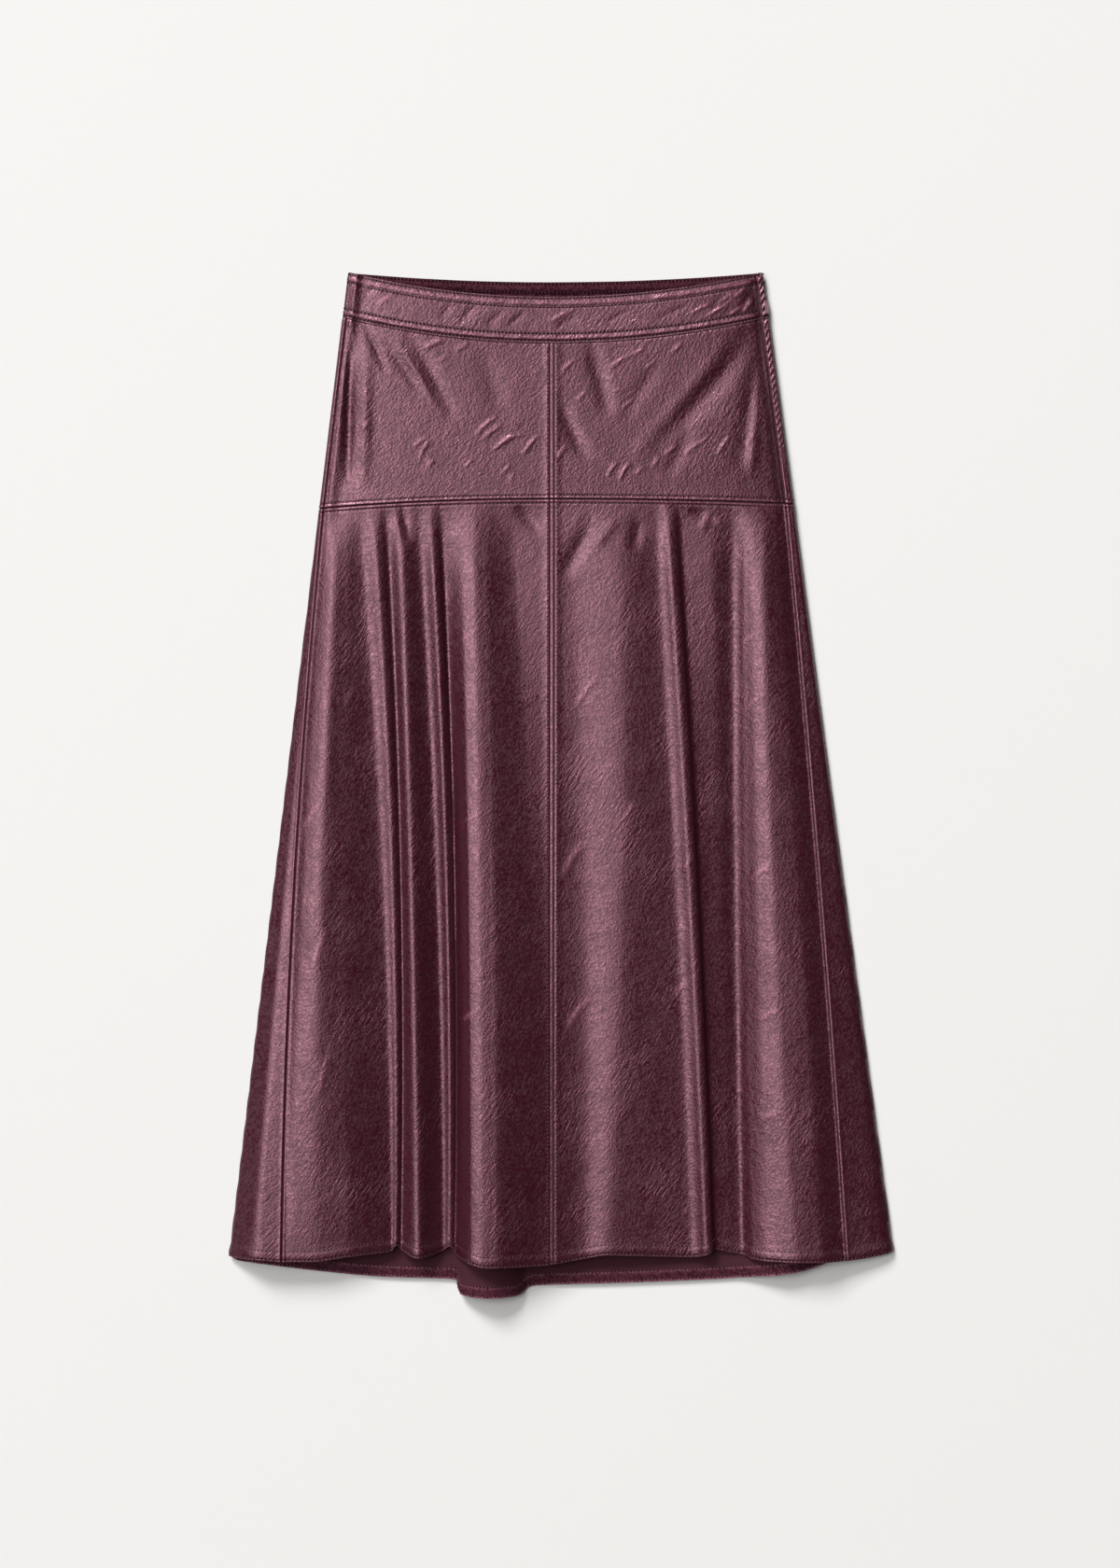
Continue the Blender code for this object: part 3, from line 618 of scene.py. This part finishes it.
def sew_up(name, outer, inner, uv, painted_light, lips, inside_leather, outside):
    """One closed piece of cloth from the grids of its two faces.  Its back is coarser, and knit but for
    the rows that inside_leather marks; its outside has a leather of its own."""
    rows, columns = outer.shape[:2]
    count = rows * columns
    kept_rows, kept_columns = thinned(rows, FINE_HEM_ROWS), thinned(columns)
    corner = np.arange(count).reshape(rows, columns)
    inside = np.arange(len(kept_rows) * len(kept_columns)).reshape(len(kept_rows), -1) + count
    front, back = quads(corner), quads(inside)[:, ::-1]
    sides = (rim_faces(corner[0, ::-1], inside[0, ::-1], (columns - 1 - kept_columns)[::-1])
             + rim_faces(corner[:, 0], inside[:, 0], kept_rows)
             + rim_faces(corner[-1], inside[-1], kept_columns)
             + rim_faces(corner[::-1, -1], inside[::-1, -1], (rows - 1 - kept_rows)[::-1]))
    picked = np.ix_(kept_rows, kept_columns)
    points = np.concatenate((outer.reshape(-1, 3), inner[picked].reshape(-1, 3)))
    mesh = bpy.data.meshes.new(name)
    mesh.from_pydata(placed(points).tolist(), [], front.tolist() + back.tolist() + sides)
    flat_uv = np.concatenate((uv.reshape(-1, 2), uv[picked].reshape(-1, 2))) * MM
    loops = np.empty(len(mesh.loops), dtype=np.int32)
    mesh.loops.foreach_get("vertex_index", loops)
    layer = mesh.uv_layers.new(name="cloth")
    layer.data.foreach_set("uv", flat_uv[loops].ravel())
    # painted highlight and painted shade at each point, outside and inside
    painted_shading = mesh.attributes.new("painted_light", "FLOAT", "POINT")
    painted_shading.data.foreach_set("value", np.concatenate((painted_light.ravel(), lips[picked].ravel())))
    lined = np.repeat(inside_leather[kept_rows[:-1]], len(kept_columns) - 1)
    slots = np.concatenate((np.zeros(len(front)), np.where(lined, 1, 2), np.ones(len(sides))))
    for material in (outside, facing, knit):
        mesh.materials.append(material)
    mesh.polygons.foreach_set("material_index", slots.astype(np.int32))
    mesh.shade_smooth()
    mesh.set_sharp_from_angle(angle=math.radians(SHARP_ANGLE))
    mesh.update()
    piece = bpy.data.objects.new(name, mesh)
    bpy.context.scene.collection.objects.link(piece)
    return piece


def inside_lips(down, height, level_start, level_end):
    """Painted light on the inside: a painted highlight on two lips along the turned hem, and a line of
    painted shade under the waist's edge.
    """
    if level_end == HEM:
        return 0.7 * bump(height - down, 0.7, 0.8) + 0.6 * bump(height - down, 8.6, 1.0)
    return -0.9 * bump(down, 9.2, 2.0) if level_start == WAIST else np.zeros_like(down)


UV_PER_LINE, UV_PER_LEVEL = 37.0, 900.0  # mm
# how much of that painted highlight the cloth takes
CREASE_HIGHLIGHT = 0.4
SURFACES = {}


def make_cloth(name, first, last, level_start, level_end, pitch, row_pitch, wall, relief, on_back,
               outside=burgundy):
    """Its texture is moved, so that no two panels have the same grain."""
    grid, along, down, height = cut_panel(first, last, level_start, level_end, pitch, row_pitch)
    total = along[:, -1:]
    normal = normals_of(grid)
    facing_down = normal[..., 2] < 0
    lift, painted_light = creased(grid[..., 0], grid[..., 1], BACK_CREASES if on_back else FRONT_CREASES)
    side = facing_down if on_back else ~facing_down
    lift, painted_light = lift * side, painted_light * side
    if on_back:
        lift -= BACK_LIFT * np.clip(-normal[..., 2], 0, 1)
    pressed = relief(along, total - along, down, height - down)
    # painted highlight on the narrow ridges, added to the seams' painted highlight and painted shade
    painted_light = np.clip(painted_light * CREASE_HIGHLIGHT + pressed[1], -1, 1)
    outer = grid + normal * (lift + pressed[0])[..., None]
    turned = (height - down < HEM_TURN) & (level_end == HEM)
    inner = grid + normal * (lift - wall - np.where(turned, HEM_PLY, 0.0))[..., None]
    uv = np.stack((along + UV_PER_LINE * first, -down - UV_PER_LEVEL * level_start), axis=2)
    inside_leather = (height - down[:-1, 0] < HEM_TURN + 0.5) & (level_end == HEM) | (level_start == WAIST)
    lips = inside_lips(down, height, level_start, level_end)
    piece = sew_up(name + "_cloth", outer, inner, uv, painted_light, lips, inside_leather, outside)
    SURFACES[name] = (outer, inner, normal, along, down, height)
    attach(piece, "root")
    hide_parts(name)


FIRM_END, SOFTENING_LENGTH, SOFTENED = 100, 420, 0.6


def lower_relief(first_seam, last_seam):
    """Relief of a lower panel.  Its centre seam was pressed less firmly towards the hem."""
    def relief(from_first, from_last, from_top, from_hem):
        firm = 1 - SOFTENED * smooth((from_top - FIRM_END) / SOFTENING_LENGTH)
        pressed = lapped(from_top) + hem_edge(from_hem)
        for seam, distance in ((first_seam, from_first), (last_seam, from_last)):
            pressed = pressed + seam(distance) * (firm if seam is topstitched else 1.0)
        return pressed
    return relief


make_cloth("skirt_front_left", LEFT_SEAM, FRONT_SEAM, YOKE_SEAM, HEM, 1.7, 2.2, LEATHER,
           lower_relief(plain_seam, topstitched), False)
make_cloth("skirt_front_right", FRONT_SEAM, RIGHT_SEAM, YOKE_SEAM, HEM, 1.7, 2.2, LEATHER,
           lower_relief(topstitched, lit_seam), False)
make_cloth("skirt_back_right", RIGHT_SEAM, BACK_SEAM, YOKE_SEAM, HEM, 2.4, 3.8, LEATHER,
           lower_relief(plain_seam, topstitched), True)
make_cloth("skirt_back_left", BACK_SEAM, ROUND, YOKE_SEAM, HEM, 2.4, 3.8, LEATHER,
           lower_relief(topstitched, plain_seam), True)


# --------------------
# Yoke: four shaped panels that fit the hips, sewn between the waistband and the lower skirt.  The
# same leather; drag lines run across it from the waistband, and on the right the zip puckers it.
# --------------------
burgundy_hips = leather("burgundy coated leather, stretched grain", "#2a0611", "#360d1a", "#9a6473",
                        relief=1.5)
ZIP_END, RIPPLE_LENGTH = 172, 6.4  # how far below the waist the zip ends; length of a ripple beside it


def tucked(distance):
    """The yoke's top edge goes under the waistband, darkened there by painted shade."""
    return np.stack((-0.8 * bump(distance, 0.0, 1.2), -0.8 * bump(distance, 0.0, 0.9)))


def zip_pucker(along, down):
    """Slanting ripples beside the concealed zip, dying out below its end, with painted highlight on their
    tops and painted shade between them.
    """
    strip = bump(along, 2.8, 2.4)
    fade = smooth((ZIP_END - down) / 60)
    ripple = np.sin((down + 1.3 * along) / RIPPLE_LENGTH * 2 * math.pi + 1.1 * np.sin(down / 17))
    return strip * fade * np.stack((0.8 * ripple, 1.6 * ripple - 0.3))


YOKE_BELOW_WAIST = 38


def yoke_relief(first_seam, last_seam, zip_side=False):
    """Relief of a yoke panel, with the pucker where the zip is on its first side."""
    def relief(from_first, from_last, from_top, from_bottom):
        pressed = tucked(from_top) + lapped(from_bottom) + first_seam(from_first) + last_seam(from_last)
        return pressed + (zip_pucker(from_first, from_top + YOKE_BELOW_WAIST) if zip_side else 0.0)
    return relief


make_cloth("yoke_front_left", LEFT_SEAM, FRONT_SEAM, BAND_SEAM, YOKE_SEAM, 1.1, 1.2, LEATHER,
           yoke_relief(plain_seam, topstitched), False, burgundy_hips)
make_cloth("yoke_front_right", FRONT_SEAM, RIGHT_SEAM, BAND_SEAM, YOKE_SEAM, 1.1, 1.2, LEATHER,
           yoke_relief(topstitched, zip_edge), False, burgundy_hips)
make_cloth("yoke_back_right", RIGHT_SEAM, BACK_SEAM, BAND_SEAM, YOKE_SEAM, 1.8, 1.8, LEATHER,
           yoke_relief(plain_seam, topstitched, zip_side=True), True, burgundy_hips)
make_cloth("yoke_back_left", BACK_SEAM, ROUND, BAND_SEAM, YOKE_SEAM, 2.2, 2.2, LEATHER,
           yoke_relief(topstitched, plain_seam), True, burgundy_hips)


# --------------------
# Waistband: two layers of the leather with a stiffener between, faced with the same leather.  Two
# rows of stitching run under its top edge and two above its lower edge, which laps over the yoke.
# --------------------
BAND_TOP_ROWS, BAND_LOW_ROWS = (1.7, 9.0), (7.8, 1.5)  # below its top edge, and above its lower one


def band_relief(from_first, from_last, from_top, from_bottom):
    """Height and painted light of the waistband: sunken stitch rows in painted shade, puffs between them with
    painted highlight, and slanting wrinkles.
    """
    sewn = (sum(bump(from_top, row, 0.9) for row in BAND_TOP_ROWS)
            + sum(bump(from_bottom, row, 0.9) for row in BAND_LOW_ROWS))
    edges = 0.35 * bump(from_bottom, 0.6, 1.0) - 0.5 * bump(from_top, 0.0, 0.7)
    puffs = 0.45 * bump(from_top, 5.6, 2.0) + 0.4 * bump(from_bottom, 4.4, 1.7)
    slant = np.sin((from_first + 0.8 * from_top) / 4.9 + 2.1 * np.sin(from_first / 23) + from_first / 71)
    wrinkles = 0.16 * slant * (bump(from_top, 5.9, 2.6) + bump(from_bottom, 4.4, 2.2)) * smooth(
        0.6 + 0.7 * np.sin(from_first / 19 + 1.3 * np.sin(from_first / 47)))
    painted_shading = 0.5 * bump(from_top, 5.6, 1.6) + 0.55 * bump(from_bottom, 4.2, 1.3) - 1.7 * sewn
    return (np.stack((edges + puffs + wrinkles - 0.75 * sewn, painted_shading))
            + plain_seam(from_first) + zip_edge(from_last))


def back_band_relief(from_first, from_last, from_top, from_bottom):
    """The same, with the zip's pucker at its first end."""
    return (band_relief(from_first, from_last, from_top, from_bottom)
            + zip_pucker(from_first, from_top))


make_cloth("waistband_front", LEFT_SEAM, RIGHT_SEAM, WAIST, BAND_SEAM, 1.3, 1.0, BAND,
           band_relief, False, burgundy_hips)
make_cloth("waistband_back", RIGHT_SEAM, ROUND, WAIST, BAND_SEAM, 1.8, 1.3, BAND,
           back_band_relief, True, burgundy_hips)


# --------------------
# Zip: a concealed nylon coil zip, closed, whose woven tape lies under the front's edge beside the
# right side seam.  The painted metal tab of its slider hangs out over the edge.
# --------------------
def plain_finish(name, colour, roughness, metallic=0.0):
    """A finish of one colour, with grain of 1 mm in its gloss and relief."""
    material = bpy.data.materials.new(name)
    material.use_nodes = True
    tree = material.node_tree
    shader = tree.nodes["Principled BSDF"]
    place = add_node(tree, "ShaderNodeTexCoord").outputs["Object"]
    grain = add_node(tree, "ShaderNodeTexNoise", {"Scale": 900.0, "Detail": 2.0}, Vector=place)
    varied = add_node(tree, "ShaderNodeMapRange", {"To Min": roughness - 0.08, "To Max": roughness + 0.08},
                    Value=grain.outputs["Fac"])
    tree.links.new(varied.outputs[0], shader.inputs["Roughness"])
    bump_grain = add_node(tree, "ShaderNodeBump", {"Strength": 0.2, "Distance": 0.2 * MM},
                          Height=grain.outputs["Fac"])
    tree.links.new(bump_grain.outputs[0], shader.inputs["Normal"])
    shader.inputs["Base Color"].default_value = linear(colour)
    shader.inputs["Metallic"].default_value = metallic
    return material


for node, finish in (("zip_tape", plain_finish("burgundy woven polyester tape", "#33161e", 0.75)),
                     ("zip_tab", plain_finish("burgundy enamel on zinc", "#a8808a", 0.35, 0.5))):
    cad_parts[node].data.materials.clear()
    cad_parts[node].data.materials.append(finish)


# --------------------
# Topstitching: polyester thread matched to the leather, a stitch every 3.3 mm (3.2 on the waistband)
# in a pressed channel, and between each two a dark disc of painted shade for its needle hole.  The rows
# follow the centre and yoke seams, the waistband and the hem.
# --------------------
def thread(name, colour, roughness):
    """Twisted thread, with strands of 0.45 mm in its relief."""
    material = bpy.data.materials.new(name)
    material.use_nodes = True
    tree = material.node_tree
    shader = tree.nodes["Principled BSDF"]
    place = add_node(tree, "ShaderNodeTexCoord").outputs["Object"]
    twist = add_node(tree, "ShaderNodeTexWave", {"Scale": 700.0}, Vector=place)
    lay = add_node(tree, "ShaderNodeBump", {"Strength": 0.3, "Distance": 0.1 * MM},
                   Height=twist.outputs["Fac"])
    tree.links.new(lay.outputs[0], shader.inputs["Normal"])
    shader.inputs["Base Color"].default_value = linear(colour)
    shader.inputs["Roughness"].default_value = roughness
    return material


burgundy_thread = thread("burgundy polyester thread", "#5c2f3b", 0.5)
needle_hole_shade = thread("needle hole, in shadow", "#1a050b", 0.9)
needle_hole_shade.node_tree.nodes["Principled BSDF"].inputs["Specular IOR Level"].default_value = 0.05

THREAD_RISE, HOLE_DEPTH = 0.1, 0.3
CENTRE_ROW = 4.0  # how far the rows lie from the centre seams


def row_at(name, axis, distance, start=0.0, end=0.0, inside=False):
    """A stitch row on a panel: axis "down" runs down the cloth at a distance from its first column
    (or from its last one, for a distance below zero), and "along" runs along it at a distance from
    its top (or its lower edge)."""
    outer, inner, normal, along, down, height = SURFACES[name]
    raised = inner - normal * THREAD_RISE if inside else outer + normal * THREAD_RISE
    points = []
    if axis == "down":
        for i in range(outer.shape[0]):
            mark = distance if distance >= 0 else along[i, -1] + distance
            if start <= down[i, 0] <= height - end:
                points.append([np.interp(mark, along[i], raised[i, :, k]) for k in range(3)])
    else:
        mark = distance if distance >= 0 else height + distance
        for j in range(outer.shape[1]):
            if start <= along[0, j] <= along[0, -1] - end:
                points.append([np.interp(mark, down[:, j], raised[:, j, k]) for k in range(3)])
    return np.array(points)


def stitch_tree(pitch, length, thickness, hole_length, hole_width):
    """Geometry nodes: resamples a row at the stitch pitch and sets a stitch and, for its needle hole, a dark
    disc of painted shade at each point.
    """
    tree = bpy.data.node_groups.new("stitch row", "GeometryNodeTree")
    tree.interface.new_socket("Rows", in_out="INPUT", socket_type="NodeSocketGeometry")
    for label, value in (("Pitch", pitch), ("Stitch length", length), ("Thread thickness", thickness),
                         ("Hole length", hole_length), ("Hole width", hole_width)):
        socket = tree.interface.new_socket(label, in_out="INPUT", socket_type="NodeSocketFloat")
        socket.default_value = value
    tree.interface.new_socket("Stitches", in_out="OUTPUT", socket_type="NodeSocketGeometry")
    given = add_node(tree, "NodeGroupInput")
    taken = add_node(tree, "NodeGroupOutput")
    marks = add_node(tree, "GeometryNodeResampleCurve", {"mode": "LENGTH"}, Curve=given.outputs["Rows"],
                     Length=given.outputs["Pitch"])
    tangent = add_node(tree, "GeometryNodeInputTangent")
    turn = add_node(tree, "FunctionNodeAlignRotationToVector", {"axis": "X"}, Vector=tangent.outputs[0])
    bead = add_node(tree, "GeometryNodeMeshUVSphere", {"Segments": 6, "Rings": 4, "Radius": 0.5})
    stitch_size = add_node(tree, "ShaderNodeCombineXYZ", X=given.outputs["Stitch length"],
                           Y=given.outputs["Thread thickness"], Z=given.outputs["Thread thickness"])
    stitch = add_node(tree, "GeometryNodeTransform", Geometry=bead.outputs[0], Scale=stitch_size.outputs[0])
    stitch_coat = add_node(tree, "GeometryNodeSetMaterial", {"Material": burgundy_thread},
                           Geometry=stitch.outputs[0])
    hole_round = add_node(tree, "GeometryNodeMeshUVSphere", {"Segments": 6, "Rings": 3, "Radius": 0.5})
    hole_size = add_node(tree, "ShaderNodeCombineXYZ", {"Z": HOLE_DEPTH * MM}, X=given.outputs["Hole length"],
                         Y=given.outputs["Hole width"])
    half_pitch = add_node(tree, "ShaderNodeMath", {"operation": "MULTIPLY", 1: 0.5},
                          _0=given.outputs["Pitch"])
    aside = add_node(tree, "ShaderNodeCombineXYZ", X=half_pitch.outputs[0])
    hole = add_node(tree, "GeometryNodeTransform", Geometry=hole_round.outputs[0],
                    Translation=aside.outputs[0], Scale=hole_size.outputs[0])
    hole_coat = add_node(tree, "GeometryNodeSetMaterial", {"Material": needle_hole_shade}, Geometry=hole.outputs[0])
    pair = add_node(tree, "GeometryNodeJoinGeometry")
    tree.links.new(stitch_coat.outputs[0], pair.inputs[0])
    tree.links.new(hole_coat.outputs[0], pair.inputs[0])
    sewn = add_node(tree, "GeometryNodeInstanceOnPoints", Points=marks.outputs[0], Instance=pair.outputs[0],
                    Rotation=turn.outputs[0])
    real = add_node(tree, "GeometryNodeRealizeInstances", Geometry=sewn.outputs[0])
    tree.links.new(real.outputs[0], taken.inputs[0])
    return tree


def sew(name, rows, pitch=3.3, length=1.9, thickness=0.5, hole_length=1.5, hole_width=1.3):
    """Stitches along rows of points, made a plain mesh."""
    curve = bpy.data.curves.new(name + "_rows", "CURVE")
    curve.dimensions = "3D"
    for row in rows:
        spline = curve.splines.new("POLY")
        spline.points.add(len(row) - 1)
        points = placed(row)
        spline.points.foreach_set("co", np.concatenate((points, np.ones((len(row), 1))), axis=1).ravel())
    guide = bpy.data.objects.new(name + "_rows", curve)
    bpy.context.scene.collection.objects.link(guide)
    modifier = guide.modifiers.new("stitches", "NODES")
    sizes = (pitch, length, thickness, hole_length, hole_width)
    modifier.node_group = stitch_tree(*(size * MM for size in sizes))
    bpy.context.view_layer.update()
    evaluated = guide.evaluated_get(bpy.context.evaluated_depsgraph_get())
    mesh = bpy.data.meshes.new_from_object(evaluated)
    mesh.name = name
    mesh.shade_smooth()
    piece = bpy.data.objects.new(name, mesh)
    bpy.context.scene.collection.objects.link(piece)
    bpy.data.objects.remove(guide)
    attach(piece, "root")


for seam, before, after in (("front", "left", "right"), ("back", "right", "left")):
    sew(seam + "_seam_stitches", [row_at(level + seam + "_" + side, "down", distance, 0.0, 3.0)
                                  for level in ("yoke_", "skirt_")
                                  for side, distance in ((before, -CENTRE_ROW), (after, CENTRE_ROW))])
sew("yoke_seam_stitches", [row_at(prefix + side, "along", distance, 2.0, 2.0)
                           for side in ("front_left", "front_right", "back_right", "back_left")
                           for prefix, distance in (("yoke_", -YOKE_ROW), ("skirt_", YOKE_ROW))])
sew("waistband_stitches", [row_at(name, "along", distance, 2.0, 2.0, inside)
                           for name, inside in (("waistband_front", False), ("waistband_back", False),
                                                ("waistband_back", True))
                           for distance in (*BAND_TOP_ROWS, *(-row for row in BAND_LOW_ROWS))],
    pitch=3.2, length=1.4, thickness=0.45, hole_length=2.3, hole_width=2.1)
sew("hem_stitches", [row_at("skirt_" + side, "along", distance, 1.5, 1.5, inside)
                     for side, inside in (("front_left", False), ("front_right", False),
                                          ("back_right", False), ("back_left", False),
                                          ("back_right", True), ("back_left", True))
                     for distance in (-HEM_LOW_ROW, -HEM_HIGH_ROW)])


# --------------------
# Studio: a table covered with matt white paper, on which the skirt lies, two softboxes overhead, a
# key light from the waist's side, and the camera above.
# --------------------
TABLE_HALF, TABLE_HEIGHT = 20.0, -0.1 * MM  # metres: it fills every view, just under the cloth
floor_mesh = bpy.data.meshes.new("table_top")
floor_mesh.from_pydata([(x * TABLE_HALF, y * TABLE_HALF, TABLE_HEIGHT)
                        for x, y in ((-1, -1), (1, -1), (1, 1), (-1, 1))], [], [(0, 1, 2, 3)])
floor = bpy.data.objects.new("table_top", floor_mesh)
bpy.context.scene.collection.objects.link(floor)
paper = bpy.data.materials.new("matt white paper")
paper.use_nodes = True
sheet = paper.node_tree.nodes["Principled BSDF"]
sheet.inputs["Base Color"].default_value = linear("#cccbc9")
sheet.inputs["Roughness"].default_value = 0.9
sheet.inputs["Specular IOR Level"].default_value = 0.1
floor.data.materials.append(paper)


def softbox(name, place, size, power):
    """A rectangular lamp that faces the middle of the table: metres, and watts."""
    light = bpy.data.lights.new(name, "AREA")
    light.shape = "RECTANGLE"
    light.size, light.size_y = size
    light.energy = power
    lamp = bpy.data.objects.new(name, light)
    lamp.location = place
    lamp.rotation_euler = Vector(place).to_track_quat("Z", "Y").to_euler()
    bpy.context.scene.collection.objects.link(lamp)


softbox("overhead softbox", (-8.17, 3.1, 18.32), (17.5, 17.7), 3070)
softbox("its hot centre", (-7.89, 2.99, 17.7), (6.5, 6.5), 620)
softbox("key from the waist's side", (-14.5, 26.5, 20.75), (12.5, 12.5), 18400)
world = bpy.data.worlds.new("studio")
world.use_nodes = True
world.node_tree.nodes["Background"].inputs["Color"].default_value = (1, 1, 1, 1)
world.node_tree.nodes["Background"].inputs["Strength"].default_value = 0.03
bpy.context.scene.world = world

CAMERA_HEIGHT, LENS = 3.173, 85.0  # metres, and millimetres on a 36 mm sensor
camera_data = bpy.data.cameras.new("camera")
camera_data.lens = LENS
camera_data.sensor_width = 36.0
camera = bpy.data.objects.new("camera", camera_data)
camera.location = (-0.0008, 0.0004, CAMERA_HEIGHT)
bpy.context.scene.collection.objects.link(camera)
bpy.context.scene.camera = camera
bpy.context.scene.view_settings.view_transform = "Standard"
